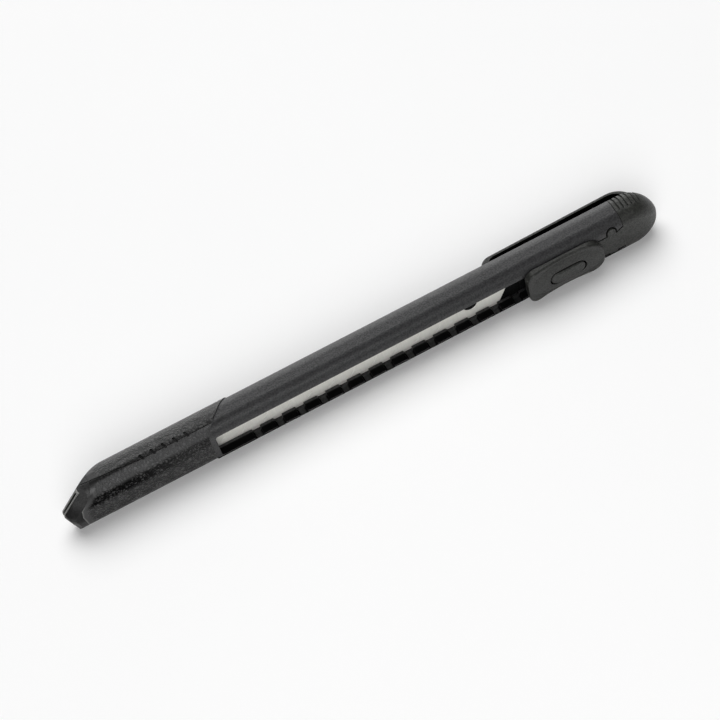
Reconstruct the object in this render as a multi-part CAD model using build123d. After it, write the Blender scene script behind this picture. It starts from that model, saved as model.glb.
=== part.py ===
from build123d import *
import os
from math import asin, cos, degrees, radians, sin, tan

# Slim snap-off utility knife with a locking thumb slide, drawn in millimetres.
# In the knife's own frame X runs from the nose tip to the rear dome, -Y faces the slot and the thumb
# slide, +Y faces the pocket clip and +Z faces the blade's spine. The middle of the blade's width is Z = 0.
# Each piece is moved at the end, so that the knife stands on its narrow lower side, with the origin
# under the middle of its box.

# Handle outline
NOSE_TIP = 0.5           # foremost place of the plastic nose
DOME_END = 136.9         # rearmost place of the rear dome
BODY_WALL = 1.0          # wall beside the blade, at the handle's narrow sides
SLOT_FACE = 3.4          # from the axis to the slotted face
CLIP_FACE = 3.85         # from the axis to the face under the clip
SLOT_CORNER = 2.4        # long corners beside the slot
CLIP_CORNER = 3.0        # long corners on the clip side
PLUG_LENGTH = 9.1        # plug behind the tube's rear end
PLUG_SEAM = 0.1          # open seam between the tube and the plug's collar

# Blade: standard 9 mm snap-off size
BLADE_WIDTH = 9.0
BLADE_THICK = 0.4
BLADE_LENGTH = 80.0      # foremost point to rearmost corner
BLADE_SLANT = 60.0       # angle of the ends and score lines to the long edges, degrees
TAIL_GAP = 0.6           # from the rearmost corner, on the spine, to the front of the thumb slide
SEGMENT_PITCH = 5.0      # one break-off segment
SCORE_DEPTH = 0.08
SCORE_WIDTH = 0.16
EDGE_BEVEL = 1.1         # width of the ground cutting edge
EDGE_LAND = 0.06         # thickness left at the cutting edge
HOLE_INSET = 11.1        # from the rearmost corner to the hole, which the carrier's stud fills
HOLE_DIAMETER = 3.3

# Slot, rack and channel in the tube
SLOT_INSET = 1.2         # from the grip's rear end to the slot
SLOT_HIGH = 3.1          # the slot's edge towards the spine
SLOT_LOW = -3.5          # and the edge with the rack
SLOT_END_RADIUS = 0.6
LIP_THICK = 2.4          # wall on both sides of the slot, from the face inwards
BACK_WALL = 1.0          # wall between the channel's floor and the clip face
CHANNEL_START = 18.5
CHANNEL_DEPTH = 1.3      # wide upper part of the channel, under the lips
KEEL_WIDTH = 6.8         # narrow lower part of the channel
SIDE_GAP = 0.15          # beside the blade
SLIDE_GAP = 0.1          # around the carrier
RACK_INSET = 8.0         # no notch is nearer to the slot's front end than this
NOTCH_LENGTH = 2.0
NOTCH_DEPTH = 1.0
NOTCH_LEAN = 0.45        # the notch's wall towards the nose leans back by this
NOTCH_ROUND = 0.6

# Nose
NOSE_FRONT_CLIP = 0.05   # the flat front of the nose lies between these two Y levels
NOSE_FRONT_SLOT = -1.2
NOSE_BEVEL_MIDDLE = (0.4, -2.4)  # the slot side slopes back through this point
NOSE_BEVEL = 1.5         # length of the slot side's slope
NOSE_BEVEL_TOP = -0.8    # Y where the slot side's slope meets the top of the mouth
NOSE_SLOPE = 12.5        # length of the clip-side slope
SLOPE_OVERRUN = 0.1      # the slope's arc ends this far outside the clip face
POINT_LOW = -0.6         # lower end of the blunt point of the nose
POINT_TOP = 0.2          # its upper end, at the mouth
POINT_LEAN = 9.0         # degrees that the blunt point leans back towards the spine
MOUTH_LEAN = 43.0        # degrees that the mouth leans back above the point
LOWER_LEAN = 14.5        # degrees that the nose leans back below the point
SEAM_POINT_TOP = 1.6     # the seam behind the nose tip has a blunter point
SEAM_LOWER_LEAN = 8.5
TIP_DEPTH = 3.1          # from the mouth to the seam with the grip
SPIGOT_END = 9.5         # rear end of the tip's spigot under the grip
GUIDE_SHEET = 0.3
GUIDE_GAP = 0.08         # between the guide and each side of the blade
GUIDE_END = 16.0
GUIDE_PROUD = 0.15       # guide in front of the plastic mouth
SEAT_GAP = 0.02          # around pieces pressed into a seat

# Grip
SLEEVE_PROUD = 0.2       # above the tube, on the sides and the clip face
SLEEVE_THICK = 0.5
SLEEVE_SLOT_CORNER = 3.25
SLEEVE_END_SLOT = 33.0   # rear end on the slotted face
SLEEVE_END_CLIP = 40.0   # rear end on the clip face
SEAM_GAP = 0.04
FINGER_MARKS = 5
MARK_FIRST = 19.4
MARK_PITCH = 2.5
MARK_WIDTH = 0.6
MARK_LENGTH = 1.5
MARK_DEPTH = 0.32
MARK_LEAN = 26.0         # degrees off square to the axis
MARK_OFFSET = -1.05      # middle of a mark, towards the slot
CREASE_Y = -1.35         # fine line along the grip's sides
CREASE_BEND = 19.0       # in front of this the line turns towards the top of the mouth
CREASE_FRONT_Y = 0.2
CREASE_WIDTH = 0.2
CREASE_DEPTH = 0.14

# Carrier
CARRIER_NOSE = 4.0       # carrier in front of the stud
CARRIER_INSET = 1.1      # from the carrier's rear end to the thumb slide's
BLOCK_GAP = 0.3          # behind the blade's tail the carrier is as high as the blade
POST_INSET = 1.5         # from the thumb slide's front end to the front post, which carries it
POST_LENGTH = 2.5
REAR_POST_LENGTH = 2.3
POST_LOW = -2.85
POST_HIGH = 2.25
PEG_DIAMETER = 1.2
PEG_HEIGHT = 0.5

# Thumb slide
KNOB_GAP = 0.1           # above the slotted face
KNOB_SETBACK = 5.5       # from the thumb slide's rear end to the tube's
KNOB_LENGTH = 17.6
KNOB_WIDTH = 9.0
KNOB_FRONT_RISE = 1.8    # height of the front end
KNOB_DISH_RISE = 0.85    # height that the ends fall to in the middle
KNOB_CROWN_RISE = 1.7    # height of the middle, which is crowned across its width
KNOB_CROWN_EDGE = 0.6    # height of the crown at the long edges, under the dished surface
KNOB_REAR_RISE = 1.8     # height of the rear end
KNOB_FRONT_CORNER = 2.2
KNOB_REAR_CORNER = 3.6
KNOB_EDGE = 0.4
BUTTON_ROOM = 0.65       # from the button's flange to the two posts
BUTTON_WIDTH = 3.2
BUTTON_RISE = 1.9        # height of the button's middle
BUTTON_END_RISE = 1.7    # height of its ends
BUTTON_EDGE = 0.4
BUTTON_GAP = 0.28
BUTTON_FLANGE = 0.45     # flange that keeps the button in the knob
FLANGE_THICK = 0.9
BUTTON_TRAVEL = 1.0

# Lock spring
LOCK_INSET = 8.0         # from the thumb slide's front end to the lock tooth
LEAF_THICK = 0.3
LEAF_LOW = -2.3
LEAF_HIGH = 2.0
LEAF_ABOVE_LIP = 0.28    # leaf above the underside of the lips
TOOTH_LENGTH = 1.1
TOOTH_END_GAP = 0.15
LEAF_GAP = 0.6           # from the front post to the leaf
LEAF_CLAMP = 1.25        # length of leaf held in the rear post's slit

# End plug
DOME_LENGTH = 6.1
DOME_CORNER = 3.5        # corners that the handle's outline rounds to at the dome's end
DOME_DROOP = 1.0         # the dome's end lies this much below the middle, towards the cutting edge
DOME_SLICES = 8
DOME_LAST_ANGLE = 85.0   # degrees round the quarter ellipse at the last slice
PLUG_SPIGOT = 4.6        # length of the plug inside the tube
TONGUE_LENGTH = 5.8
TONGUE_LOW = -3.55
TONGUE_HIGH = 2.25
TONGUE_FLARE = 0.9       # the tongue widens by this behind the bump
TONGUE_THICK = 2.2
LATCH_GAP = 0.36
BUMP_INSET = 2.65        # from the tube's rear end to the bump
BUMP_WIDTH = 1.85
BUMP_TOP = 4.15
RIB_INSET = 0.9          # from the tube's rear end to the first groove
RIB_PITCH = 0.95
RIB_GROOVES = 6
RIB_WIDTH = 0.4
RIB_DEPTH = 0.3
RIB_END = -1.0           # the grooves stop at this Y, on the way round to the slot side

# Pocket clip
CLIP_LENGTH = 34.8
CLIP_OUTER = 6.55        # from the axis to the clip's outer face, at its bend
CLIP_FALL = 0.4          # the clip comes this much closer towards its tip
CLIP_THICK = 0.6
CLIP_WIDTH = 4.6
CLIP_TIP_GAP = 0.1       # under the tip
CLIP_TIP_RISE = 2.4      # length of the tip's curve
CLIP_PAD = 1.6           # length of the tip's flat pad
CLIP_BEND = 4.5          # length of the bend towards the root
CLIP_BEND_RADIUS = 5.0
CLIP_ROOT_LENGTH = 1.5
CLIP_ROOT_GAP = 0.4      # between clip and plug just before the root
CLIP_INSET = 3.2         # from the clip's rear end to the dome's
CLIP_ROOT_DEPTH = 1.0    # root below the clip face
CLIP_SEAT_GAP = 0.15
CLIP_HEEL = 0.4          # rounding of the root's outer rear corner
CLIP_EDGE = 0.25

# Levels and places worked out from the sizes above
OVERLAP = 1.0                                 # added to cuts and joins, so that no faces coincide
FAR = 2 * DOME_END
BODY_WIDTH = BLADE_WIDTH + 2 * (SIDE_GAP + BODY_WALL)
HALF = BODY_WIDTH / 2
TUBE_END = DOME_END - PLUG_LENGTH
COLLAR_START = TUBE_END + PLUG_SEAM
DOME_START = DOME_END - DOME_LENGTH
LIP_Y = LIP_THICK - SLOT_FACE                 # underside of the lips
SHELF_Y = LIP_Y + CHANNEL_DEPTH               # floor of the wide part of the channel
KEEL_Y = CLIP_FACE - BACK_WALL                # floor of the channel
BLADE_OUT = LIP_Y + SLIDE_GAP                 # outer face of the blade
BLADE_IN = BLADE_OUT + BLADE_THICK
CHANNEL_HALF = BLADE_WIDTH / 2 + SIDE_GAP
KNOB_BASE = -SLOT_FACE - KNOB_GAP
KNOB_REAR = TUBE_END - KNOB_SETBACK           # with the blade drawn in
KNOB_FRONT = KNOB_REAR - KNOB_LENGTH
BLADE_TAIL = KNOB_FRONT - TAIL_GAP
STUD_X = BLADE_TAIL - HOLE_INSET
CARRIER_FRONT = STUD_X - CARRIER_NOSE
CARRIER_REAR = KNOB_REAR - CARRIER_INSET
BLOCK_FRONT = BLADE_TAIL + BLOCK_GAP
POST_FRONT = KNOB_FRONT + POST_INSET
POST_REAR = POST_FRONT + POST_LENGTH
REAR_POST = CARRIER_REAR - REAR_POST_LENGTH
BUTTON_X = (POST_REAR + REAR_POST) / 2
BUTTON_LENGTH = REAR_POST - POST_REAR - 2 * (BUTTON_FLANGE + BUTTON_ROOM)
LOCK_X = KNOB_FRONT + LOCK_INSET              # also the rearmost notch of the rack
LEAF_FRONT = POST_REAR + LEAF_GAP
SLOT_START = SLEEVE_END_SLOT + SLOT_INSET
RACK_NOTCHES = int((LOCK_X - SLOT_START - RACK_INSET) / SEGMENT_PITCH) + 1
TONGUE_FRONT = TUBE_END - TONGUE_LENGTH
BUMP_X = TUBE_END - BUMP_INSET
CLIP_ROOT_REAR = DOME_END - CLIP_INSET
CLIP_ROOT_FRONT = CLIP_ROOT_REAR - CLIP_ROOT_LENGTH
CLIP_BEND_START = CLIP_ROOT_REAR - CLIP_BEND
CLIP_TIP = CLIP_ROOT_REAR - CLIP_LENGTH
BUTTON_TOP = KNOB_BASE - BUTTON_RISE
FLANGE_TOP = KNOB_BASE + SLIDE_GAP
LEAF_TOP = LIP_Y - LEAF_ABOVE_LIP - LEAF_THICK
LEAF_UNDER = LIP_Y - LEAF_ABOVE_LIP
LEAF_REAR = REAR_POST + LEAF_CLAMP            # rear end of the leaf, inside the rear post's slit
X_MIDDLE = (NOSE_TIP - GUIDE_PROUD + DOME_END) / 2
Y_MIDDLE = (CLIP_OUTER + BUTTON_TOP) / 2
Z_BOTTOM = -HALF - SLEEVE_PROUD


def block(x_range, y_range, z_range):
    """Box between two places on each axis."""
    sizes = [high - low for low, high in (x_range, y_range, z_range)]
    middle = [(high + low) / 2 for low, high in (x_range, y_range, z_range)]
    return Pos(*middle) * Box(*sizes)


def rounded_section(half, slot, clip, slot_corner, clip_corner):
    """Handle outline across its length: flat faces with two sizes of rounded corner."""
    corners = [(-slot, -half), (clip, -half), (clip, half), (-slot, half)]
    face = make_face(Polyline(*corners, close=True))
    face = fillet(face.vertices().group_by(Axis.X)[-1], clip_corner)
    return fillet(face.vertices().group_by(Axis.X)[0], slot_corner)


def body_section(grow=0.0):
    return rounded_section(HALF + grow, SLOT_FACE + grow, CLIP_FACE + grow,
                           SLOT_CORNER + grow, CLIP_CORNER + grow)


def grip_section(grow=0.0):
    """Outline of the grip and the nose: flush on the slotted face and proud elsewhere."""
    proud = SLEEVE_PROUD + grow
    return rounded_section(HALF + proud, SLOT_FACE + grow, CLIP_FACE + proud,
                           SLEEVE_SLOT_CORNER + grow, CLIP_CORNER + proud)


def prism(section, start, end):
    """Section extruded along the knife."""
    return Pos(start, 0, 0) * extrude(Plane.YZ * section, end - start)


def slab(outline, y_range):
    """Outline drawn as seen from the slot side, X across and Z up, extruded between two Y levels."""
    low, high = y_range
    return Pos(0, high, 0) * extrude(Plane.XZ * outline, high - low)


def plate(outline, z_range):
    """Outline drawn as seen from the spine side, X across and Y up, extruded between two Z levels."""
    low, high = z_range
    return Pos(0, 0, low) * extrude(outline, high - low)


def along_mouth(outline, point_top=POINT_TOP, lower_lean=LOWER_LEAN):
    """Sweep an outline seen from the spine side along the leaning mouth, over the whole blade width."""
    reach = BODY_WIDTH
    point = point_top - POINT_LOW
    shift = point * tan(radians(POINT_LEAN))
    runs = [
        (NOSE_TIP, POINT_LOW, reach, lower_lean, -1),
        (NOSE_TIP, POINT_LOW, point, POINT_LEAN, 1),
        (NOSE_TIP + shift, point_top, reach, MOUTH_LEAN, 1),
    ]
    swept = Part()
    for x, z, height, lean, way in runs:
        angle = radians(lean)
        direction = (sin(angle), 0, way * cos(angle))
        swept += extrude(Pos(x, 0, z) * outline, height / cos(angle), dir=direction)
    return swept


def along_seam(outline):
    """The same along the seam between the nose tip and the grip."""
    return along_mouth(outline, SEAM_POINT_TOP, SEAM_LOWER_LEAN)


def behind(x):
    """Everything behind a place on the axis, as seen from the spine side."""
    return make_face(Polyline((x, -FAR), (FAR, -FAR), (FAR, FAR), (x, FAR), close=True))


def ahead(x):
    return make_face(Polyline((x, -FAR), (-FAR, -FAR), (-FAR, FAR), (x, FAR), close=True))


def nose_cut(inset=0.0):
    """What the nose's shape takes away: before the mouth, and outside its two slopes."""
    middle_x, middle_y = NOSE_BEVEL_MIDDLE
    steep = (SLOT_FACE + middle_y) / (NOSE_BEVEL - middle_x)
    bevel_end = (2 * NOSE_BEVEL, middle_y - steep * (2 * NOSE_BEVEL - middle_x))
    front_clip = (0, NOSE_FRONT_CLIP - inset)
    slope_end = (NOSE_SLOPE, CLIP_FACE + SLEEVE_PROUD + SLOPE_OVERRUN - inset)
    edges = Polyline(bevel_end, NOSE_BEVEL_MIDDLE, (0, NOSE_FRONT_SLOT), front_clip)
    edges += TangentArc(slope_end, front_clip, tangent=(-1, 0))
    edges += Polyline(slope_end, (NOSE_SLOPE, FAR), (-FAR, FAR), (-FAR, -FAR),
                      (bevel_end[0], -FAR), bevel_end)
    return along_mouth(make_face(edges)) + upper_bevel()


def upper_bevel():
    """What is cut from the nose's corner between the slotted face and the spine side."""
    side = HALF + SLEEVE_PROUD
    mouth_x = NOSE_TIP + (POINT_TOP - POINT_LOW) * tan(radians(POINT_LEAN))
    foot = Vector(mouth_x + NOSE_BEVEL_MIDDLE[0], NOSE_BEVEL_MIDDLE[1], POINT_TOP)
    top = Vector(mouth_x + (side - POINT_TOP) * tan(radians(MOUTH_LEAN)), NOSE_BEVEL_TOP, side)
    outward = (Vector(1, -1, 0)).cross(top - foot)
    outside = Plane(origin=foot, x_dir=top - foot, z_dir=outward) * Rectangle(FAR, FAR)
    return extrude(outside, FAR) - block((-FAR, FAR), (-FAR, FAR), (-FAR, POINT_TOP))


def sleeve_end(side, gap=0.0):
    """Half space before or behind the grip's slanted rear end."""
    run = (SLEEVE_END_CLIP - SLEEVE_END_SLOT) / (CLIP_FACE + SLOT_FACE)
    middle = SLEEVE_END_SLOT + run * SLOT_FACE + gap
    reach = 2 * BODY_WIDTH
    far = -FAR if side == "ahead" else FAR
    outline = make_face(Polyline((middle - run * reach, -reach), (far, -reach), (far, reach),
                                 (middle + run * reach, reach), close=True))
    return plate(outline, (-FAR, FAR))


def core(fit=0.0):
    """Solid under the grip: the front of the tube and the spigot of the nose tip."""
    solid = prism(grip_section(fit - SLEEVE_THICK), 0, SLEEVE_END_CLIP + BODY_WIDTH)
    return solid - nose_cut(SLEEVE_THICK - fit)


def guide_seat():
    """Opening for the steel guide, with a narrower passage for the blade behind it."""
    sheet = GUIDE_GAP + GUIDE_SHEET + SEAT_GAP
    y_range = (BLADE_OUT - sheet, BLADE_IN + sheet)
    z_range = (-CHANNEL_HALF, CHANNEL_HALF + GUIDE_SHEET + SEAT_GAP)
    seat = block((-FAR, GUIDE_END + SEAT_GAP), y_range, z_range)
    passage = block((0, CHANNEL_START + OVERLAP), (BLADE_OUT - GUIDE_GAP, BLADE_IN + GUIDE_GAP),
                    (-CHANNEL_HALF, CHANNEL_HALF))
    return seat + passage


def tongue_outline():
    """Latch tongue as seen from the slot side: a plate with a half-round bump and a flared root."""
    foot = BUMP_X + BUMP_WIDTH / 2
    corners = [(TONGUE_FRONT, TONGUE_LOW + LATCH_GAP), (COLLAR_START, TONGUE_LOW + LATCH_GAP),
               (COLLAR_START, TONGUE_HIGH + TONGUE_FLARE), (foot, TONGUE_HIGH), (TONGUE_FRONT, TONGUE_HIGH)]
    bump_centre = BUMP_TOP - BUMP_WIDTH / 2
    neck = bump_centre - TONGUE_LOW
    outline = make_face(Polyline(*corners, close=True))
    outline += Pos(BUMP_X, bump_centre - neck / 2) * Rectangle(BUMP_WIDTH, neck)
    return outline + Pos(BUMP_X, bump_centre) * Circle(BUMP_WIDTH / 2)


def rack_notch(x):
    """One notch of the rack: a leaning front wall and a steep rear wall with a rounded foot."""
    start = x - NOTCH_LENGTH / 2
    end = x + NOTCH_LENGTH / 2
    floor = SLOT_LOW - NOTCH_DEPTH
    face = make_face(Polyline((start, 0), (start, SLOT_LOW), (start + NOTCH_LEAN, floor),
                              (end, floor), (end, 0), close=True))
    rear_corner = face.vertices().sort_by(Axis.Y)[:2].sort_by(Axis.X)[-1]
    return fillet(rear_corner, NOTCH_ROUND)


def handle_tube():
    tube = core() - block((-FAR, SPIGOT_END), (-FAR, FAR), (-FAR, FAR))
    tube += prism(body_section(), SLEEVE_END_SLOT - BODY_WIDTH, TUBE_END) - sleeve_end("ahead")
    tube -= block((CHANNEL_START, FAR), (LIP_Y, SHELF_Y), (-CHANNEL_HALF, CHANNEL_HALF))
    tube -= block((CHANNEL_START, FAR), (LIP_Y, KEEL_Y), (-KEEL_WIDTH / 2, KEEL_WIDTH / 2))
    tube -= guide_seat()
    slot_end = TONGUE_FRONT - LATCH_GAP
    slot = make_face(Polyline((SLOT_START, SLOT_LOW), (slot_end, SLOT_LOW), (slot_end, SLOT_HIGH),
                              (SLOT_START, SLOT_HIGH), close=True))
    slot = fillet(slot.vertices().group_by(Axis.X)[0], SLOT_END_RADIUS)
    lips = (-FAR, LIP_Y + SLIDE_GAP)
    tube -= slab(slot, lips)
    tube -= slab(offset(tongue_outline(), LATCH_GAP, kind=Kind.INTERSECTION), lips)
    for step in range(RACK_NOTCHES):
        tube -= slab(rack_notch(LOCK_X - step * SEGMENT_PITCH), lips)
    return tube


def nose_tip():
    tip = prism(grip_section(), -BODY_WIDTH, SPIGOT_END) - nose_cut() - along_seam(behind(TIP_DEPTH))
    spigot = core() - block((SPIGOT_END, FAR), (-FAR, FAR), (-FAR, FAR))
    spigot -= along_seam(ahead(TIP_DEPTH - OVERLAP))
    tip = tip + spigot - guide_seat()
    return tip - creases()


def nose_guide():
    """Folded steel channel round the blade, open towards the cutting edge."""
    inside = (BLADE_OUT - GUIDE_GAP, BLADE_IN + GUIDE_GAP)
    outside = (inside[0] - GUIDE_SHEET, inside[1] + GUIDE_SHEET)
    low = SEAT_GAP - CHANNEL_HALF
    channel = block((-BODY_WIDTH, GUIDE_END), outside, (low, CHANNEL_HALF + GUIDE_SHEET))
    channel -= block((-FAR, FAR), inside, (-FAR, CHANNEL_HALF))
    return channel - along_mouth(ahead(-GUIDE_PROUD))


def creases():
    """Fine lines along both sides of the grip and the nose, of one depth below the surface."""
    half = CREASE_WIDTH / 2
    middle = [(0, CREASE_FRONT_Y), (CREASE_BEND, CREASE_Y), (FAR, CREASE_Y)]
    upper = [(x, y + half) for x, y in middle]
    lower = [(x, y - half) for x, y in reversed(middle)]
    band = plate(make_face(Polyline(*upper, *lower, close=True)), (-FAR, FAR))
    return band - core(SLEEVE_THICK - CREASE_DEPTH)


def grip_sleeve():
    sleeve = prism(grip_section(), 0, SLEEVE_END_CLIP + BODY_WIDTH) - core(SEAT_GAP) - nose_cut()
    sleeve -= along_seam(ahead(TIP_DEPTH + SEAM_GAP))
    sleeve -= sleeve_end("behind", -SEAM_GAP)
    sleeve -= creases()
    corner_start = SLEEVE_SLOT_CORNER - SLOT_FACE
    tilt = asin((corner_start - MARK_OFFSET) / SLEEVE_SLOT_CORNER)
    level = HALF + SLEEVE_PROUD - SLEEVE_SLOT_CORNER * (1 - cos(tilt))
    mark = plate(Rot(0, 0, 90 + MARK_LEAN) * SlotOverall(MARK_LENGTH, MARK_WIDTH), (-MARK_DEPTH, MARK_LENGTH))
    for step in range(FINGER_MARKS):
        place = Pos(MARK_FIRST + step * MARK_PITCH, MARK_OFFSET, level)
        cut = place * Rot(degrees(tilt), 0, 0) * mark
        sleeve -= cut
        sleeve -= mirror(cut, about=Plane.XY)
    return sleeve


def blade_outline(x_tail, x_front):
    """Slanted outline between two places on the spine, as seen from the slot side."""
    half = BLADE_WIDTH / 2
    slant = BLADE_WIDTH / tan(radians(BLADE_SLANT))
    return make_face(Polyline((x_front, half), (x_tail, half), (x_tail - slant, -half),
                              (x_front - slant, -half), close=True))


def blade():
    slant = BLADE_WIDTH / tan(radians(BLADE_SLANT))
    spine_front = BLADE_TAIL - BLADE_LENGTH + slant
    solid = slab(blade_outline(BLADE_TAIL, spine_front), (BLADE_OUT, BLADE_IN))
    hole = Cylinder(HOLE_DIAMETER / 2, 2 * BLADE_THICK)
    solid -= Pos(STUD_X, (BLADE_OUT + BLADE_IN) / 2, 0) * Rot(90, 0, 0) * hole
    edge = -BLADE_WIDTH / 2
    fall = (BLADE_THICK - EDGE_LAND) / 2
    for face, way in ((BLADE_OUT, 1), (BLADE_IN, -1)):
        corners = [(face, edge + EDGE_BEVEL), (face + way * fall, edge), (face - way, edge)]
        solid -= prism(make_face(Polyline(*corners, close=True)), -FAR, FAR)
    first_score = spine_front + SEGMENT_PITCH
    scores = int((STUD_X - HOLE_DIAMETER - spine_front) / SEGMENT_PITCH)
    for step in range(scores):
        x = first_score + step * SEGMENT_PITCH
        line = blade_outline(x + SCORE_WIDTH / 2, x - SCORE_WIDTH / 2)
        solid -= slab(line, (-FAR, BLADE_OUT + SCORE_DEPTH))
    return solid


def blade_carrier():
    flange_half = CHANNEL_HALF - SLIDE_GAP
    keel_half = KEEL_WIDTH / 2 - SLIDE_GAP
    shelf = SHELF_Y - SLIDE_GAP / 2
    carrier = block((CARRIER_FRONT, CARRIER_REAR), (BLADE_IN, shelf), (-flange_half, flange_half))
    carrier += block((CARRIER_FRONT, CARRIER_REAR), (BLADE_IN, KEEL_Y - SLIDE_GAP), (-keel_half, keel_half))
    carrier += block((BLOCK_FRONT, CARRIER_REAR), (BLADE_OUT, shelf), (-flange_half, flange_half))
    posts = [(POST_FRONT, POST_LENGTH), (REAR_POST, REAR_POST_LENGTH)]
    for x, length in posts:
        carrier += block((x, x + length), (KNOB_BASE, shelf), (POST_LOW, POST_HIGH))
    for peg in peg_places():
        carrier += peg * Cylinder(PEG_DIAMETER / 2, 2 * PEG_HEIGHT)
    stud = Cylinder(HOLE_DIAMETER / 2 - SLIDE_GAP, BLADE_THICK)
    carrier += Pos(STUD_X, (BLADE_OUT + BLADE_IN) / 2, 0) * Rot(90, 0, 0) * stud
    pocket = (POST_REAR, REAR_POST)
    floor = LEAF_UNDER + BUTTON_TRAVEL + SLIDE_GAP
    carrier -= block(pocket, (-FAR, floor), (POST_LOW, POST_HIGH))
    tooth_room = (LOCK_X - NOTCH_LENGTH / 2, LOCK_X + NOTCH_LENGTH / 2)
    carrier -= block(tooth_room, (-FAR, floor), (-FAR, 0))
    clamp = (LEAF_TOP - SEAT_GAP, LEAF_UNDER + SEAT_GAP)
    carrier -= block((REAR_POST - OVERLAP, LEAF_REAR + SEAT_GAP), clamp, (-FAR, FAR))
    return carrier


def peg_places():
    """Pegs on the two posts, which hold the knob."""
    middle = (POST_LOW + POST_HIGH) / 2
    centres = (POST_FRONT + POST_LENGTH / 2, REAR_POST + REAR_POST_LENGTH / 2)
    return [Pos(x, KNOB_BASE, middle) * Rot(90, 0, 0) for x in centres]


def lock_spring():
    level = (LEAF_TOP, LEAF_UNDER)
    leaf = block((LEAF_FRONT, LEAF_REAR), level, (LEAF_LOW, LEAF_HIGH))
    tooth_tip = SLOT_LOW - NOTCH_DEPTH + TOOTH_END_GAP
    return leaf + block((LOCK_X - TOOTH_LENGTH / 2, LOCK_X + TOOTH_LENGTH / 2), level, (tooth_tip, 0))


def under_arc(front, middle, rear):
    """Solid under an arched top through three places, each its X and height above the knob's base."""
    points = [(x, KNOB_BASE - rise) for x, rise in (front, middle, rear)]
    edges = ThreePointArc(*points)
    edges += Polyline(points[2], (rear[0], KEEL_Y), (front[0], KEEL_Y), points[0])
    return plate(make_face(edges), (-KNOB_WIDTH, KNOB_WIDTH))


def knob_crown():
    """Solid under the middle of the slide's top, which is arched across its width."""
    half = KNOB_WIDTH / 2
    edge = KNOB_BASE - KNOB_CROWN_EDGE
    outline = ThreePointArc((edge, -half), (KNOB_BASE - KNOB_CROWN_RISE, 0), (edge, half))
    outline += Polyline((edge, half), (KEEL_Y, half), (KEEL_Y, -half), (edge, -half))
    return prism(make_face(outline), KNOB_FRONT, KNOB_REAR)


def slider_knob():
    outline = Pos((KNOB_FRONT + KNOB_REAR) / 2, 0) * Rectangle(KNOB_LENGTH, KNOB_WIDTH)
    outline = fillet(outline.vertices().group_by(Axis.X)[0], KNOB_FRONT_CORNER)
    outline = fillet(outline.vertices().group_by(Axis.X)[-1], KNOB_REAR_CORNER)
    ends = under_arc((KNOB_FRONT, KNOB_FRONT_RISE), ((KNOB_FRONT + KNOB_REAR) / 2, KNOB_DISH_RISE),
                     (KNOB_REAR, KNOB_REAR_RISE))
    knob = slab(outline, (-FAR, KNOB_BASE)) & ends
    dished = knob.faces().filter_by(GeomType.CYLINDER).sort_by(SortBy.AREA)[-1]
    knob = fillet(dished.edges(), KNOB_EDGE)
    knob += slab(offset(outline, -KNOB_EDGE), (-FAR, KNOB_BASE)) & knob_crown()
    hole = Pos(BUTTON_X, 0) * SlotOverall(BUTTON_LENGTH + 2 * BUTTON_GAP, BUTTON_WIDTH + 2 * BUTTON_GAP)
    knob -= slab(hole, (-FAR, FAR))
    for peg in peg_places():
        knob -= peg * Cylinder(PEG_DIAMETER / 2 + SEAT_GAP, 2 * (PEG_HEIGHT + SEAT_GAP))
    return knob


def release_button():
    outline = Pos(BUTTON_X, 0) * SlotOverall(BUTTON_LENGTH, BUTTON_WIDTH)
    foot = LEAF_TOP - SEAT_GAP
    front = (BUTTON_X - BUTTON_LENGTH / 2, BUTTON_END_RISE)
    rear = (BUTTON_X + BUTTON_LENGTH / 2, BUTTON_END_RISE)
    button = slab(outline, (-FAR, foot)) & under_arc(front, (BUTTON_X, BUTTON_RISE), rear)
    top = button.faces().sort_by(Axis.Y)[0]
    button = fillet(top.edges(), BUTTON_EDGE)
    rim = 2 * BUTTON_FLANGE
    flange = Pos(BUTTON_X, 0) * SlotOverall(BUTTON_LENGTH + rim, BUTTON_WIDTH + rim)
    return button + slab(flange, (FLANGE_TOP, FLANGE_TOP + FLANGE_THICK))


def dome():
    """Rounded end of the plug: the handle's outline, shrinking and rounding along a quarter ellipse."""
    middle = (CLIP_FACE - SLOT_FACE) / 2
    slices = []
    last = radians(DOME_LAST_ANGLE)
    for step in range(DOME_SLICES):
        angle = last * step / (DOME_SLICES - 1)
        rounding = sin(angle) / sin(last)
        corners = [corner + (DOME_CORNER - corner) * rounding for corner in (SLOT_CORNER, CLIP_CORNER)]
        outline = rounded_section(HALF, SLOT_FACE, CLIP_FACE, *corners)
        section = Pos(middle, -DOME_DROOP * rounding ** 2) * scale(Pos(-middle, 0) * outline, cos(angle))
        x = DOME_START + DOME_LENGTH * rounding
        slices.append(Pos(x, 0, 0) * (Plane.YZ * section))
    return loft(slices)


def dome_fall(x):
    """How far the dome has drawn in on the spine side at a place along the knife."""
    along = max(0, x - DOME_START) / DOME_LENGTH
    return HALF * (1 - (1 - along ** 2) ** 0.5) + DOME_DROOP * along ** 2


def clip_root(grow=0.0):
    """Root of the clip in the plug's pocket, as seen from the spine side."""
    floor = CLIP_FACE - CLIP_ROOT_DEPTH - grow
    x_range = (CLIP_ROOT_FRONT - grow, CLIP_ROOT_REAR + grow)
    return make_face(Polyline((x_range[0], floor), (x_range[1], floor), (x_range[1], CLIP_OUTER),
                              (x_range[0], CLIP_OUTER), close=True))


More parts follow.
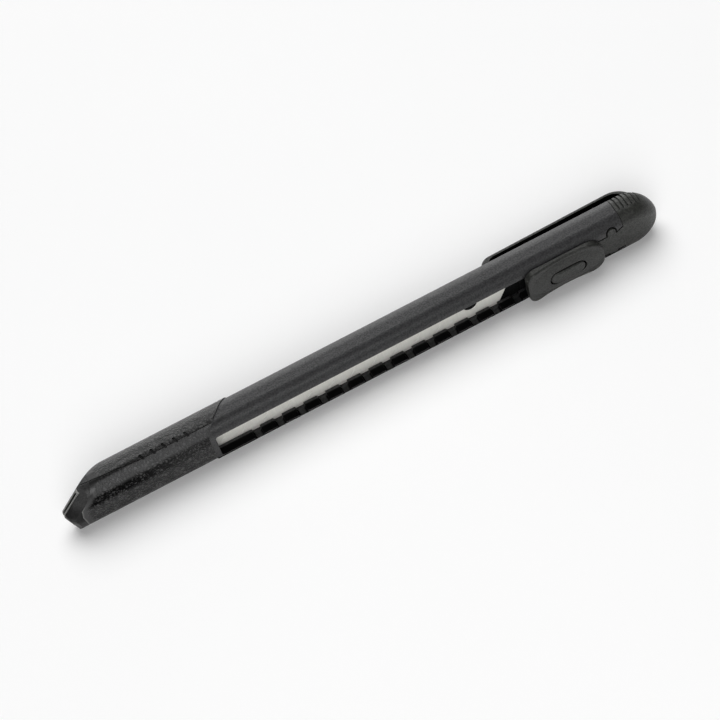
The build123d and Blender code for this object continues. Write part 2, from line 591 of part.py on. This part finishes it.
def end_plug():
    plug = prism(body_section(), COLLAR_START, DOME_START) + dome()
    keel_half = KEEL_WIDTH / 2 - SLIDE_GAP
    spigot_levels = (LIP_Y + SLIDE_GAP, KEEL_Y - SLIDE_GAP)
    plug += block((TUBE_END - PLUG_SPIGOT, COLLAR_START + OVERLAP), spigot_levels, (-keel_half, keel_half))
    seat_half = CLIP_WIDTH / 2 + CLIP_SEAT_GAP
    plug -= plate(clip_root(CLIP_SEAT_GAP), (-seat_half, seat_half))
    for step in range(RIB_GROOVES):
        x = TUBE_END + RIB_INSET + step * RIB_PITCH
        ring = prism(body_section(OVERLAP), x - RIB_WIDTH / 2, x + RIB_WIDTH / 2)
        ring -= prism(body_section(-RIB_DEPTH - dome_fall(x)), 0, FAR)
        plug -= ring - block((-FAR, FAR), (-FAR, RIB_END), (-FAR, FAR))
    return plug


def latch_tongue():
    return slab(tongue_outline(), (-SLOT_FACE, TONGUE_THICK - SLOT_FACE))


def pocket_clip():
    pad = CLIP_FACE + CLIP_TIP_GAP
    inner = CLIP_OUTER - CLIP_THICK
    floor = CLIP_FACE - CLIP_ROOT_DEPTH
    tip = (CLIP_TIP, pad + CLIP_THICK)
    tip_outer = CLIP_OUTER - CLIP_FALL
    bend = (CLIP_BEND_START, CLIP_OUTER)
    drop = CLIP_BEND_RADIUS - (CLIP_BEND_RADIUS ** 2 - (CLIP_ROOT_REAR - CLIP_BEND_START) ** 2) ** 0.5
    bend_end = (CLIP_ROOT_REAR, CLIP_OUTER - drop)
    pad_end = CLIP_TIP + CLIP_PAD
    rise_end = CLIP_TIP + CLIP_TIP_RISE
    inner_rise = (pad_end + CLIP_TIP_RISE - CLIP_THICK, tip_outer - CLIP_THICK)
    edges = TangentArc((rise_end, tip_outer), tip, tangent=(-1, 0))
    edges += Polyline((rise_end, tip_outer), bend)
    edges += TangentArc(bend, bend_end, tangent=(1, 0))
    inner_bend = (CLIP_BEND_START, inner)
    root_top = (CLIP_ROOT_FRONT, CLIP_FACE + CLIP_ROOT_GAP)
    edges += Polyline(bend_end, (CLIP_ROOT_REAR, floor), (CLIP_ROOT_FRONT, floor), root_top)
    edges += TangentArc(inner_bend, root_top, tangent=(1, 0))
    edges += Polyline(inner_bend, inner_rise)
    edges += TangentArc(inner_rise, (pad_end, pad), tangent=(-1, 0))
    edges += Polyline((pad_end, pad), (CLIP_TIP, pad), tip)
    half = CLIP_WIDTH / 2
    profile = make_face(edges)
    profile = fillet(profile.vertices().sort_by_distance(bend_end)[0], CLIP_HEEL)
    clip = plate(profile, (-half, half))
    outer_face = clip.faces().filter_by(GeomType.PLANE).sort_by(Axis.Y)[-1]
    return fillet(outer_face.edges().sort_by(SortBy.LENGTH)[-2:], CLIP_EDGE)


PIECES = {
    "handle_tube": handle_tube,
    "grip_sleeve": grip_sleeve,
    "nose_tip": nose_tip,
    "nose_guide": nose_guide,
    "blade": blade,
    "blade_carrier": blade_carrier,
    "slider_knob": slider_knob,
    "release_button": release_button,
    "lock_spring": lock_spring,
    "end_plug": end_plug,
    "latch_tongue": latch_tongue,
    "pocket_clip": pocket_clip,
}

os.makedirs("parts", exist_ok=True)
for name, make in PIECES.items():
    piece = Pos(-X_MIDDLE, -Y_MIDDLE, -Z_BOTTOM) * make()
    export_step(piece, f"parts/{name}.step")
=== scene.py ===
# %% [markdown]
# # A slim snap-off utility knife
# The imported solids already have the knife's shapes, sizes and joints. This lesson dresses them: each piece
# gets the finish that the real one has, and then the knife is lit and photographed. The solids are loaded
# first, and nothing is moved or resized afterwards.

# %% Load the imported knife
import bpy
from math import cos, radians, sin
from mathutils import Matrix, Vector

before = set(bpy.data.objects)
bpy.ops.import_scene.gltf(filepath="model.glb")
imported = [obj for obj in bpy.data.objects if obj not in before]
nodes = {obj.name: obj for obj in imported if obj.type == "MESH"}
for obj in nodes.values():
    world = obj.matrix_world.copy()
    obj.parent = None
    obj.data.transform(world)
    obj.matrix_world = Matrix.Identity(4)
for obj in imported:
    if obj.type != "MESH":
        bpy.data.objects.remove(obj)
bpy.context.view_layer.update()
print("pieces:", ", ".join(sorted(nodes)))

# %% [markdown]
# ## Writing a finish as sums
# A finish is a tree of shader nodes. It could be wired by hand in the editor, but a large tree is hard to
# read, so one small class stands for a socket: adding or multiplying two of them adds a Math node. Every
# other node comes from its one method.

# %% A socket that can be added and multiplied
class Wire:
    """A socket of a finish. Arithmetic on it adds Math nodes to the same finish."""

    def __init__(self, tree, socket=None):
        self.tree = tree
        self.socket = socket

    def node(self, kind, settings, sockets, output=0):
        """Add a node: first its settings, then the values or wires of its sockets."""
        made = self.tree.nodes.new(kind)
        for name, value in settings.items():
            setattr(made, name, value)
        for key, value in sockets.items():
            if isinstance(value, Wire):
                self.tree.links.new(value.socket, made.inputs[key])
            else:
                made.inputs[key].default_value = value
        return Wire(self.tree, made.outputs[output]) if made.outputs else None

    def maths(self, operation, *values):
        return self.node("ShaderNodeMath", {"operation": operation}, dict(enumerate(values)))

    def __add__(self, other):
        return self.maths("ADD", self, other)

    __radd__ = __add__

    def __sub__(self, other):
        return self.maths("SUBTRACT", self, other)

    def __rsub__(self, other):
        return self.maths("SUBTRACT", other, self)

    def __mul__(self, other):
        return self.maths("MULTIPLY", self, other)

    __rmul__ = __mul__


print("sums ready: + - *")


# %% Starting a finish, and giving it to pieces
def new_finish(name):
    """Empty material and the wire that its nodes are added through."""
    material = bpy.data.materials.new(name)
    material.use_nodes = True
    material.node_tree.nodes.clear()
    return material, Wire(material.node_tree)


def dress(material, *names):
    """Give one finish to the named pieces."""
    for name in names:
        mesh = nodes[name].data
        mesh.materials.clear()
        mesh.materials.append(material)
    print(material.name, "on", ", ".join(names))


# %% [markdown]
# ## Patterns in millimetres
# All pieces share one frame in metres, so Object coordinates times 1000 are millimetres on the knife. A
# pattern can then be written at its real size, such as a grain of half a millimetre. Unwrapped pieces with
# pictures on them would have seams, and a pattern in space has none.

# %% Places on the knife
MM = 0.001


def millimetres(wire):
    """Place on a piece, in millimetres."""
    place = wire.node("ShaderNodeTexCoord", {}, {}, "Object")
    return wire.node("ShaderNodeVectorMath", {"operation": "SCALE"}, {0: place, "Scale": 1 / MM})


def stretched(place, steps):
    """The same place measured in other steps on each axis, to draw a pattern out."""
    return place.node("ShaderNodeVectorMath", {"operation": "MULTIPLY"}, {0: place, 1: steps})


def along(place):
    """Its share along the knife, from the nose to the dome."""
    return place.node("ShaderNodeSeparateXYZ", {}, {0: place}, "X")


def across(place):
    """Its share across the knife, from the slide to the clip."""
    return place.node("ShaderNodeSeparateXYZ", {}, {0: place}, "Y")


def up(place):
    """Its height, from the blade's cutting edge to its spine."""
    return place.node("ShaderNodeSeparateXYZ", {}, {0: place}, "Z")


print("patterns are written in steps of", MM, "m")


# %% Noise and soft masks
def noise(place, per_mm, detail=3.0, roughness=0.55):
    sockets = {"Vector": place, "Scale": per_mm, "Detail": detail, "Roughness": roughness}
    return place.node("ShaderNodeTexNoise", {}, sockets, "Fac")


def step(value, low, high):
    """Smooth step of a wire from 0 at low to 1 at high."""
    sockets = {"Value": value, "From Min": low, "From Max": high}
    return value.node("ShaderNodeMapRange", {"interpolation_type": "SMOOTHSTEP"}, sockets)


def window(value, rise, fall):
    """0, then 1 past the two ends of the rise, then 0 again past the two ends of the fall."""
    return step(value, *rise) * (1 - step(value, *fall))


def larger(wire, other):
    return wire.maths("MAXIMUM", wire, other)


print("masks ready: step, window, larger")


# %% Colours
def grey(level):
    return (level, level, level)


def tinted(colour, share, lift=0.0):
    """A colour made darker or lighter by a share, and no brighter than white."""
    return tuple(min(1.0, share * channel + lift) for channel in colour)


def mixed(factor, first, second):
    """Mix of two colours, each an RGB triple or a wire."""
    ends = [value if isinstance(value, Wire) else (*value, 1) for value in (first, second)]
    return factor.node("ShaderNodeMix", {"data_type": "RGBA"}, {0: factor, 6: ends[0], 7: ends[1]}, 2)


print("colours ready: grey, tinted, mixed")

# %% [markdown]
# ## Edges and gaps
# No moulded edge is quite sharp, and handling polishes it. A bevel on the mesh would show this too, but it
# would add faces to every edge. The Bevel node only turns the surface's direction near an edge, and where it
# turns there is an edge to wear. Little light gets into narrow gaps, so the Ambient Occlusion node finds
# them, and there the finish is mixed with a matt black as painted shade.

# %% Edges and relief
WEAR_TURN = (0.01, 0.16)    # wear starts at the first turn of the surface and is full at the second


def rounded(wire, radius):
    """Surface direction with every sharp edge rounded off by a small radius."""
    return wire.node("ShaderNodeBevel", {"samples": 6}, {"Radius": radius * MM})


def edge_wear(wire, soft):
    """1 along the sharp edges and 0 on the faces, from how far the rounded direction turns."""
    hard = wire.node("ShaderNodeNewGeometry", {}, {}, "Normal")
    turn = wire.node("ShaderNodeVectorMath", {"operation": "DOT_PRODUCT"}, {0: hard, 1: soft}, "Value")
    return step(1 - turn, *WEAR_TURN)


def raised(height, size, normal):
    """Relief of a given size in millimetres, on top of a surface direction."""
    return height.node("ShaderNodeBump", {}, {"Distance": size * MM, "Height": height, "Normal": normal})


print("worn where the surface turns by", WEAR_TURN)

# %% Painted shade in gaps, and closing a finish
# painted shade: narrow gaps are mixed with a matt black
GAP_REACH = 0.6             # millimetres; walls nearer than this to each other stay dark between them
SHADE_BLACK = (0.004, 0.004, 0.004, 1)


def gap_shade(wire, dark=0.3, plain=0.65, alone=True):
    """1 in narrow gaps and grooves, where shade is painted, and 0 on open faces.

    A place is dark where it sees less than the first share of its surroundings, and plain past the second.
    Alone, only the piece's own walls count, so that no neighbour that moves leaves its shade on it.
    """
    settings = {"samples": 8, "only_local": alone}
    open_sky = wire.node("ShaderNodeAmbientOcclusion", settings, {"Distance": GAP_REACH * MM}, "AO")
    return 1 - step(open_sky, dark, plain)


def close_finish(wire, fixed, varying, painted_shade=None):
    """Principled surface: fixed numbers are set on its sockets, varying ones are wired.

    Where the painted shade wire is 1, the surface is matt black instead.
    """
    surface = wire.node("ShaderNodeBsdfPrincipled", {}, {**fixed, **varying})
    if painted_shade is not None:
        # painted shade: a matt black surface mixed in
        black = wire.node("ShaderNodeBsdfDiffuse", {}, {"Color": SHADE_BLACK})
        surface = wire.node("ShaderNodeMixShader", {}, {0: painted_shade, 1: surface, 2: black})
    wire.node("ShaderNodeOutputMaterial", {}, {0: surface})


print("gaps under", GAP_REACH, "mm are dark")

# %% [markdown]
# ## Moulded plastic
# Barrel, slide, button, plug, clip, nose and carriage are moulded in charcoal plastic with a satin texture
# from the mould. A flat colour would look like a toy, so a noise of about a third of a millimetre breaks up
# colour and gloss, the colour drifts a little over a few millimetres, and handled edges are polished a shade
# lighter. Some places get painted shade, a mix with matt black: the tops of the rack's teeth in the slot,
# the inner side of the clip, the middle of the nose, and the carriage in the depth of the slot. A second
# material on some faces could do this, but it would end in a hard line, so each is a mask on the place or on
# the surface's direction.

# %% Places of painted shade
RACK_ACROSS = ((-3.96, -3.9), (-2.3, -2.1))     # the rack's teeth lie between these places across the knife
RACK_UP = ((1.2, 1.6), (2.75, 2.85))            # and between these heights, all in millimetres
CLIP_TURN = (-0.6, -0.2)    # the clip's inner side points towards the slide by more than this
# painted shade across the middle of the nose, between these heights
NOSE_UP = ((3.0, 5.0), (7.0, 9.0))
NOSE_SHADE = 0.6
# painted shade over the carriage in the depth of the slot
CARRIAGE_SHADE = 0.6
CARRIAGE_CLOUD_SHADE = 0.35  # added in clouds
CARRIAGE_CLOUDS_PER_MM = 1.5


def rack_painted_shade(place):
    """1 on the tops of the rack's teeth inside the slot, where shade is painted as matt black."""
    return window(across(place), *RACK_ACROSS) * window(up(place), *RACK_UP)


def clip_inside_shade(place):
    """1 on the side of the clip that faces the barrel, where shade is painted as matt black."""
    facing = place.node("ShaderNodeNewGeometry", {}, {}, "Normal")
    return 1 - step(across(facing), *CLIP_TURN)


def nose_middle_shade(place):
    """Painted shade as matt black over the middle of the nose, in line with the painted shade band of the
    grip behind it.
    """
    return NOSE_SHADE * window(up(place), *NOSE_UP)


def carriage_shade_clouds(place):
    """Painted shade as matt black nearly all over, in faint clouds."""
    return CARRIAGE_SHADE + CARRIAGE_CLOUD_SHADE * noise(place, CARRIAGE_CLOUDS_PER_MM)


print("dull places on 4 pieces")

# %% Satin charcoal
EDGE = 0.12                 # radius of the moulded edges, in millimetres
PLASTIC_IOR = 1.45
DRIFT_PER_MM = 0.25
DRIFT_SHARE = 0.15          # share of the slow drift in the colour; the texture has the rest
TEXTURE_EDGES = (0.3, 0.7)  # noise below the first is a pit of the texture, and above the second a top
PIT_SHADE = 0.35            # colour of pits, tops and polished edges, as shares of the piece's own
TOP_SHADE = 1.65
POLISHED_SHADE = 2.2
POLISHED_LIFT = 0.01
POLISHED_COVER = 0.7        # how much of a worn edge's colour is the polished one
GLOSS_SWING = 0.12          # roughness changes by this from pits to tops
WEAR_GLOSS = 0.08           # and drops by this on worn edges
WORN_CLEAR = 0.6            # share of a dull place that wear has cleared from its edges


def moulding(name, colour, gloss, grain, relief, painted_shade_area=None, alone=True):
    """Satin charcoal: gloss is the mean roughness, grain the texture's steps per millimetre."""
    material, wire = new_finish(name)
    place = millimetres(wire)
    drift = noise(place, DRIFT_PER_MM, detail=2.0)
    texture = step(noise(place, grain, detail=2.0), *TEXTURE_EDGES)
    soft = rounded(wire, EDGE)
    wear = edge_wear(wire, soft)
    tops = DRIFT_SHARE * drift + (1 - DRIFT_SHARE) * texture
    body = mixed(tops, tinted(colour, PIT_SHADE), tinted(colour, TOP_SHADE))
    polished = tinted(colour, POLISHED_SHADE, POLISHED_LIFT)
    # painted shade: matt black in narrow gaps and on the shaded places
    painted_shade = gap_shade(wire, alone=alone)
    if painted_shade_area:
        painted_shade = larger(painted_shade, painted_shade_area(place) * (1 - WORN_CLEAR * wear))
    close_finish(wire, {"IOR": PLASTIC_IOR}, {
        "Base Color": mixed(POLISHED_COVER * wear, body, polished),
        "Roughness": gloss + GLOSS_SWING * (0.5 - texture) - WEAR_GLOSS * wear,
        "Normal": raised(texture, relief, soft),
    }, painted_shade)
    return material


print("satin edges of", EDGE, "mm")

# %% [markdown]
# The pieces were moulded apart, so each has a slightly different grey and texture, which keeps their joints
# visible. Round the button and the latch the gaps lie between two pieces, so on the slide and the plug the
# neighbours' walls count as well for the painted shade in the gaps.

# %% Dressing the mouldings
BARREL_GREY = (0.023, 0.023, 0.0239)
SLIDE_GREY = (0.019, 0.0196, 0.0176)
PLUG_GREY = (0.019, 0.0196, 0.0172)
CLIP_GREY = (0.022, 0.0226, 0.021)
NOSE_GREY = grey(0.018)
CARRIAGE_BLACK = grey(0.006)

barrel = moulding("satin_barrel", BARREL_GREY, gloss=0.42, grain=3.2, relief=0.02, painted_shade_area=rack_painted_shade)
dress(barrel, "handle_tube")
slide = moulding("satin_slide", SLIDE_GREY, gloss=0.42, grain=2.8, relief=0.024, alone=False)
dress(slide, "slider_knob", "release_button")
plug = moulding("satin_plug", PLUG_GREY, gloss=0.46, grain=2.6, relief=0.03, alone=False)
dress(plug, "end_plug", "latch_tongue")
clip = moulding("satin_clip", CLIP_GREY, gloss=0.42, grain=2.8, relief=0.02, painted_shade_area=clip_inside_shade)
dress(clip, "pocket_clip")
nose = moulding("smooth_nose", NOSE_GREY, gloss=0.42, grain=3.2, relief=0.01, painted_shade_area=nose_middle_shade)
dress(nose, "nose_tip")
carriage = moulding("black_carriage", CARRIAGE_BLACK, gloss=0.5, grain=6.0, relief=0.01,
                    painted_shade_area=carriage_shade_clouds)
dress(carriage, "blade_carrier")

# %% [markdown]
# ## Leather-grained grip
# The grip's skin has the look of fine leather: pebbles about two thirds of a millimetre across, parted by
# thin valleys that run together into longer wrinkles along the knife. Carved into the mesh, they would take
# millions of faces. Voronoi cells give the pebbles instead, bent by noise so that they are not
# straight-sided, and a noise drawn out along the knife gives the wrinkles. A smooth margin is left behind
# the front seam, with a painted highlight along its lip. The seam is found from the place alone: it leans
# back by a different slope in each of three stretches of height.

# %% Behind the front seam
SEAM_X = -65.0                      # foremost place of the seam, in millimetres along the knife
SEAM_HEIGHTS = (5.25, 7.45)         # its lean changes at these two heights
SEAM_LEANS = (0.15, 0.158, 0.93)    # lean for each millimetre below, between and above them

material, wire = new_finish("grained_grip")
place = millimetres(wire)
lengthways = along(place)
sideways = across(place)
height = up(place)
seam_low, seam_high = SEAM_HEIGHTS
below = larger(seam_low - height, 0.0)
above = larger(height - seam_high, 0.0)
between = larger(height - seam_low, 0.0) - above
lean = SEAM_LEANS[0] * below + SEAM_LEANS[1] * between + SEAM_LEANS[2] * above
behind_seam = lengthways - SEAM_X - lean
print("seam at", SEAM_X, "mm")

# %% Pebbles and wrinkles
PEBBLES = 1.45                      # per millimetre, as the next three
FINE_PEBBLES = 3.0
WRINKLES = 0.9
BENDS = 1.1
BEND_SIZE = (0.9, 0.9, 0.9)         # millimetres on each axis
VALLEY = 0.28                       # share of a cell over which a pebble rises from its valley
WRINKLE_STEPS = (0.45, 1.0, 1.0)    # drawn out along the knife
WRINKLE_EDGES = (0.42, 0.6)         # noise below the first is a wrinkle, and above the second none
PEBBLE_SHARE = 0.7
FINE_SHARE = 0.15
WRINKLE_SHARE = 0.5

bend = place.node("ShaderNodeTexNoise", {}, {"Vector": place, "Scale": BENDS, "Detail": 2.0}, "Color")
bent = place.node("ShaderNodeVectorMath", {"operation": "MULTIPLY_ADD"}, {0: bend, 1: BEND_SIZE, 2: place})


def pebbles(per_mm):
    """Rounded cells with narrow valleys between them."""
    sockets = {"Vector": bent, "Scale": per_mm}
    distance = bent.node("ShaderNodeTexVoronoi", {"feature": "DISTANCE_TO_EDGE"}, sockets, "Distance")
    return step(distance, 0.0, VALLEY)


wrinkles = step(noise(stretched(bent, WRINKLE_STEPS), WRINKLES), *WRINKLE_EDGES)
grain = PEBBLE_SHARE * pebbles(PEBBLES) + FINE_SHARE * pebbles(FINE_PEBBLES) + WRINKLE_SHARE * wrinkles
print("pebbles of", round(1 / PEBBLES, 2), "and", round(1 / FINE_PEBBLES, 2), "mm")

# %% [markdown]
# The skin is not evenly dark. A band of painted shade, matt and darker, runs along the upper half of the
# slotted face and fades towards the rear, the rounded corner above it gets a paler painted highlight and
# flatter grain, and a line of painted shade runs along the top, in line with the finger marks. Each is a
# soft mask on the place. A painted picture could hold them as well, but the masks stay sharp at any
# distance and can be moved by a number.

# %% Painted shade band, painted highlight on the corner, painted shade along the crease
MARGIN = (0.6, 2.4)                 # smooth up to the first place behind the seam, grained at the second
REAR = (-54.0, -40.0)               # band and crease fade between these places along the knife
FACE = (-3.7, -2.7)                 # the slotted face ends between these places across the knife
# the band of painted shade on the slotted face lies between these heights and fades to the rear
BAND_UP = ((6.0, 7.8), (9.2, 10.0))
BAND_FADE = 0.55
# painted highlight on the rounded corner, between these heights and places across
CORNER_UP = (9.6, 10.4)
CORNER_ACROSS = (-2.3, -1.7)
# painted shade along a line on the top, in line with the finger marks
CREASE_ACROSS = -1.5
CREASE_WIDTH = (0.1, 0.7)           # darkest up to the first distance from its line, gone at the second
CREASE_UP = (9.5, 10.5)
CREASE_FADE = 0.7

grained = step(behind_seam, *MARGIN)
to_rear = step(lengthways, *REAR)
face = 1 - step(sideways, *FACE)
shade_band = face * window(height, *BAND_UP) * (1 - BAND_FADE * to_rear)
painted_highlight = step(height, *CORNER_UP) * (1 - step(sideways, *CORNER_ACROSS))
from_crease = sideways.maths("ABSOLUTE", sideways - CREASE_ACROSS)
on_crease = 1 - step(from_crease, *CREASE_WIDTH)
crease_shade = step(height, *CREASE_UP) * on_crease * (1 - CREASE_FADE * to_rear)
print("masks on the grip: band, rubbed corner, crease")

# %% Colours of the grip
SKIN_EDGES = (0.45, 1.05)           # grain below the first is a valley, and above the second a pebble's top
SPINE_EDGES = (-2.4, -0.8)          # the grain flattens between these places across the knife
SPINE_DEPTH = 0.3                   # to this share on the spine's side
HIGHLIGHT_FLAT = 0.5                   # and loses this share on the corner with the painted highlight
CREASE_COVER = 0.7
PEBBLE_GREY = (0.058, 0.058, 0.057)
SHADE_BAND_GREY = grey(0.040)
HIGHLIGHT_GREY = (0.10, 0.10, 0.101)
CREASE_SHADE_GREY = grey(0.012)
VALLEY_GREY = grey(0.002)
HIGHLIGHT_VALLEY_GREY = (0.055, 0.055, 0.056)
SMOOTH_GREY = grey(0.026)

face_tops = mixed(painted_highlight, mixed(shade_band, PEBBLE_GREY, SHADE_BAND_GREY), HIGHLIGHT_GREY)
tops = mixed(CREASE_COVER * crease_shade, face_tops, CREASE_SHADE_GREY)
valleys = mixed(painted_highlight, VALLEY_GREY, HIGHLIGHT_VALLEY_GREY)
skin = mixed(step(grain, *SKIN_EDGES), valleys, tops)
on_face = 1 - step(sideways, *SPINE_EDGES)
depth = grained * (SPINE_DEPTH + (1 - SPINE_DEPTH) * on_face) * (1 - HIGHLIGHT_FLAT * painted_highlight)
body = mixed(depth, SMOOTH_GREY, skin)
print("greys of the skin from", min(VALLEY_GREY), "to", max(HIGHLIGHT_GREY))

# %% Surface of the grip
LIP_WIDTH = (0.1, 0.35)             # painted highlight up to the first place behind the seam, plain at the second
LIP_UP = (7.8, 8.8)                 # it ends between these heights
# lighter grey of edge wear, which is also a painted highlight along the grip's edges and the seam's lip
WEAR_AND_HIGHLIGHT_GREY = (0.14, 0.14, 0.138)
GRIP_WEAR_AND_HIGHLIGHT = 0.6
GRIP_GLOSS = 0.32
PIT_GLOSS = 0.1                     # valleys are rougher by this
GRAIN_RELIEF = 0.26
# the band of painted shade is matt black in the grain's pits and partly on its pebbles
PIT_EDGES = (0.5, 1.1)              # grain below the first is a pit that the matt band fills
SHADE_BAND_DULL = 0.2                     # how matt the band is on its pebbles; its pits are fully matt
# share of matt black in the painted shade along the crease
CREASE_DULL = 0.6

soft = rounded(wire, EDGE)
wear = edge_wear(wire, soft)
lip_highlight = (1 - step(behind_seam, *LIP_WIDTH)) * (1 - step(height, *LIP_UP))
pits = 1 - step(grain, *PIT_EDGES)
matt_shade_band = grained * shade_band * (SHADE_BAND_DULL + (1 - SHADE_BAND_DULL) * pits)
gaps = gap_shade(wire, dark=0.4, plain=0.8)
# painted shade as matt black in gaps, along the crease and over the band
close_finish(wire, {"IOR": PLASTIC_IOR}, {
    "Base Color": mixed(larger(GRIP_WEAR_AND_HIGHLIGHT * wear, lip_highlight), body, WEAR_AND_HIGHLIGHT_GREY),
    "Roughness": GRIP_GLOSS + PIT_GLOSS * (1 - grain) * grained,
    "Normal": raised(grain * depth, GRAIN_RELIEF, soft),
}, larger(larger(gaps, CREASE_DULL * crease_shade), matt_shade_band))
dress(material, "grip_sleeve")

# %% [markdown]
# ## Blade, guide and spring steel
# The blade is carbon steel under a film of oil, so it looks pale and soft rather than like a mirror: it gets
# only a little of the metal's shine, and fine grinding lines across it. The folded guide and the spring are
# bare sheet, with rolling lines along them and brighter cut edges. One function makes all three from a noise
# that is drawn out along one axis. An Anisotropic shader could give such lines a sheen, but on strips this
# narrow it would not show.

# %% Rolled and ground steel
STEEL_EDGE = 0.06                   # radius of the cut edges, in millimetres
CLOUDS_PER_MM = 0.35
LINE_SHARE = 0.55                   # share of the lines in the colour; faint clouds have the rest
DULL_SHADE = 0.8                    # colour of dull and bright lines and of cut edges, as shares of the mean
BRIGHT_SHADE = 1.15
CUT_SHADE = 1.5
CLOUD_GLOSS = 0.15                  # roughness changes by these with the clouds and the lines
LINE_GLOSS = 0.1
LINES_ALONG = (0.06, 1.0, 1.0)      # drawn out along the knife
LINES_UP = (1.0, 1.0, 0.08)         # drawn out from the cutting edge to the spine


def steel(name, colour, gloss, lines, relief, metal=1.0, drawn=LINES_ALONG):
    """Steel with fine lines drawn out along one axis; metal is lower where oil dulls the shine."""
    material, wire = new_finish(name)
    place = millimetres(wire)
    streaks = noise(stretched(place, drawn), lines, detail=4.0)
    clouds = noise(place, CLOUDS_PER_MM)
    soft = rounded(wire, STEEL_EDGE)
    bright = LINE_SHARE * streaks + (1 - LINE_SHARE) * clouds
    face = mixed(bright, tinted(colour, DULL_SHADE), tinted(colour, BRIGHT_SHADE))
    close_finish(wire, {"Metallic": metal}, {
        "Base Color": mixed(edge_wear(wire, soft), face, tinted(colour, CUT_SHADE)),
        "Roughness": gloss + CLOUD_GLOSS * (clouds - 0.5) + LINE_GLOSS * (streaks - 0.5),
        "Normal": raised(streaks, relief, soft),
    })
    return material


print("steel edges of", STEEL_EDGE, "mm")

# %% Dressing the steel
BLADE_STEEL = (0.80, 0.79, 0.74)
GUIDE_STEEL = (0.30, 0.30, 0.29)
SPRING_STEEL = (0.50, 0.50, 0.49)

ground = steel("oiled_blade", BLADE_STEEL, gloss=0.5, lines=2.6, relief=0.004, metal=0.15, drawn=LINES_UP)
dress(ground, "blade")
folded = steel("folded_guide", GUIDE_STEEL, gloss=0.4, lines=9.0, relief=0.003)
dress(folded, "nose_guide")
sprung = steel("leaf_spring", SPRING_STEEL, gloss=0.35, lines=9.0, relief=0.003)
dress(sprung, "lock_spring")

# %% [markdown]
# ## Camera
# The photograph looks down on the slot and the spine from the nose end, with the knife rising to the right.
# The angles were fitted to the outline and to the pitch of the rack. The camera could be placed by hand and
# turned until it fits, but three angles and a distance can be read and changed one by one. It looks straight
# at a place on the knife's axis, and a very small shift puts that place where the photograph has it.

# %% Camera at the photograph's place
AZIMUTH = radians(-11.453)
ELEVATION = radians(54.957)
ROLL = radians(-17.967)
DISTANCE = 0.48466
LENS_PIXELS = 2384.3                # focal length in pixels of a 720 pixel frame
FRAME_PIXELS = 720
AIM = Vector((-0.625, -0.575, 5.85)) * MM
AIM_SHIFT_PIXELS = -2.57

back = Vector((sin(AZIMUTH) * cos(ELEVATION), -cos(AZIMUTH) * cos(ELEVATION), sin(ELEVATION)))
level = Vector((cos(AZIMUTH), sin(AZIMUTH), 0))
upright = back.cross(level)
right = level * cos(ROLL) + upright * sin(ROLL)
top = upright * cos(ROLL) - level * sin(ROLL)

lens = bpy.data.cameras.new("photo_camera")
lens.sensor_width = 36.0
lens.lens = LENS_PIXELS / FRAME_PIXELS * lens.sensor_width
lens.shift_y = AIM_SHIFT_PIXELS / FRAME_PIXELS
lens.clip_start = 0.01
camera = bpy.data.objects.new("photo_camera", lens)
turned = Matrix((right, top, back)).transposed().to_4x4()
camera.matrix_world = Matrix.Translation(AIM + back * DISTANCE) @ turned
bpy.context.scene.collection.objects.link(camera)
bpy.context.scene.camera = camera
print("camera", [round(value, 3) for value in camera.location])

# %% [markdown]
# ## Floor
# The knife stands on its narrow lower side on a white table. A shadow catcher would leave the background
# empty, so a plain floor with a nearly white, matt finish is used, and it keeps the knife's soft shadow.

# %% White table
TABLE_SIZE = 4.0
TABLE_CLOUDS = 0.01                 # per millimetre

bpy.ops.mesh.primitive_plane_add(size=TABLE_SIZE, location=(0, 0, 0))
floor = bpy.context.object
floor.name = "table"
material, wire = new_finish("pale_table")
cloud = noise(millimetres(wire), TABLE_CLOUDS, detail=2.0)
close_finish(wire, {"Roughness": 0.9, "Specular IOR Level": 0.1}, {
    "Base Color": mixed(cloud, grey(0.96), grey(0.98)),
})
floor.data.materials.append(material)
print("table", TABLE_SIZE, "m wide")

# %% [markdown]
# ## Light
# In the photograph the light comes from the top of the picture, and the flat spine side mirrors nothing
# bright. One lamp could not do both, so a wide lamp gives plain light from there without highlights, and a
# smaller one near the camera fills the slotted face. Two more give highlights only: a low one on the clip's
# side draws the thin bright rim, and a small one by the nose catches the front edges. A faint white
# surrounding lifts the rest.

# %% Soft lamps
def soft_lamp(name, direction, distance, size, watts, lights=True, shines=True):
    """Round lamp facing the knife. It can leave out the plain light or the highlights."""
    lamp = bpy.data.lights.new(name, "AREA")
    lamp.shape = "DISK"
    lamp.size = size
    lamp.energy = watts
    holder = bpy.data.objects.new(name, lamp)
    holder.location = AIM + direction.normalized() * distance
    holder.rotation_euler = direction.to_track_quat("Z", "Y").to_euler()
    holder.visible_diffuse = lights
    holder.visible_glossy = shines
    bpy.context.scene.collection.objects.link(holder)
    print(name, watts, "W")


from_window = top + 0.6 * back - 0.3 * right
from_front = back - 0.3 * top
from_clip = Vector((0.1, 0.95, 0.4))
from_nose = Vector((-0.85, -0.5, 0.15))
soft_lamp("window_lamp", from_window, distance=1.2, size=1.3, watts=13.0, shines=False)
soft_lamp("front_lamp", from_front, distance=0.9, size=0.6, watts=3.6)
soft_lamp("rim_lamp", from_clip, distance=0.6, size=0.8, watts=4.0, lights=False)
soft_lamp("side_lamp", from_nose, distance=0.6, size=0.25, watts=0.3, lights=False)

# %% White surroundings
ROOM_STRENGTH = 0.1

world = bpy.data.worlds.new("pale_room")
world.use_nodes = True
room = world.node_tree.nodes["Background"]
room.inputs["Color"].default_value = (1.0, 1.0, 1.0, 1.0)
room.inputs["Strength"].default_value = ROOM_STRENGTH
bpy.context.scene.world = world
bpy.context.scene.view_settings.view_transform = "Standard"
print("room", ROOM_STRENGTH)
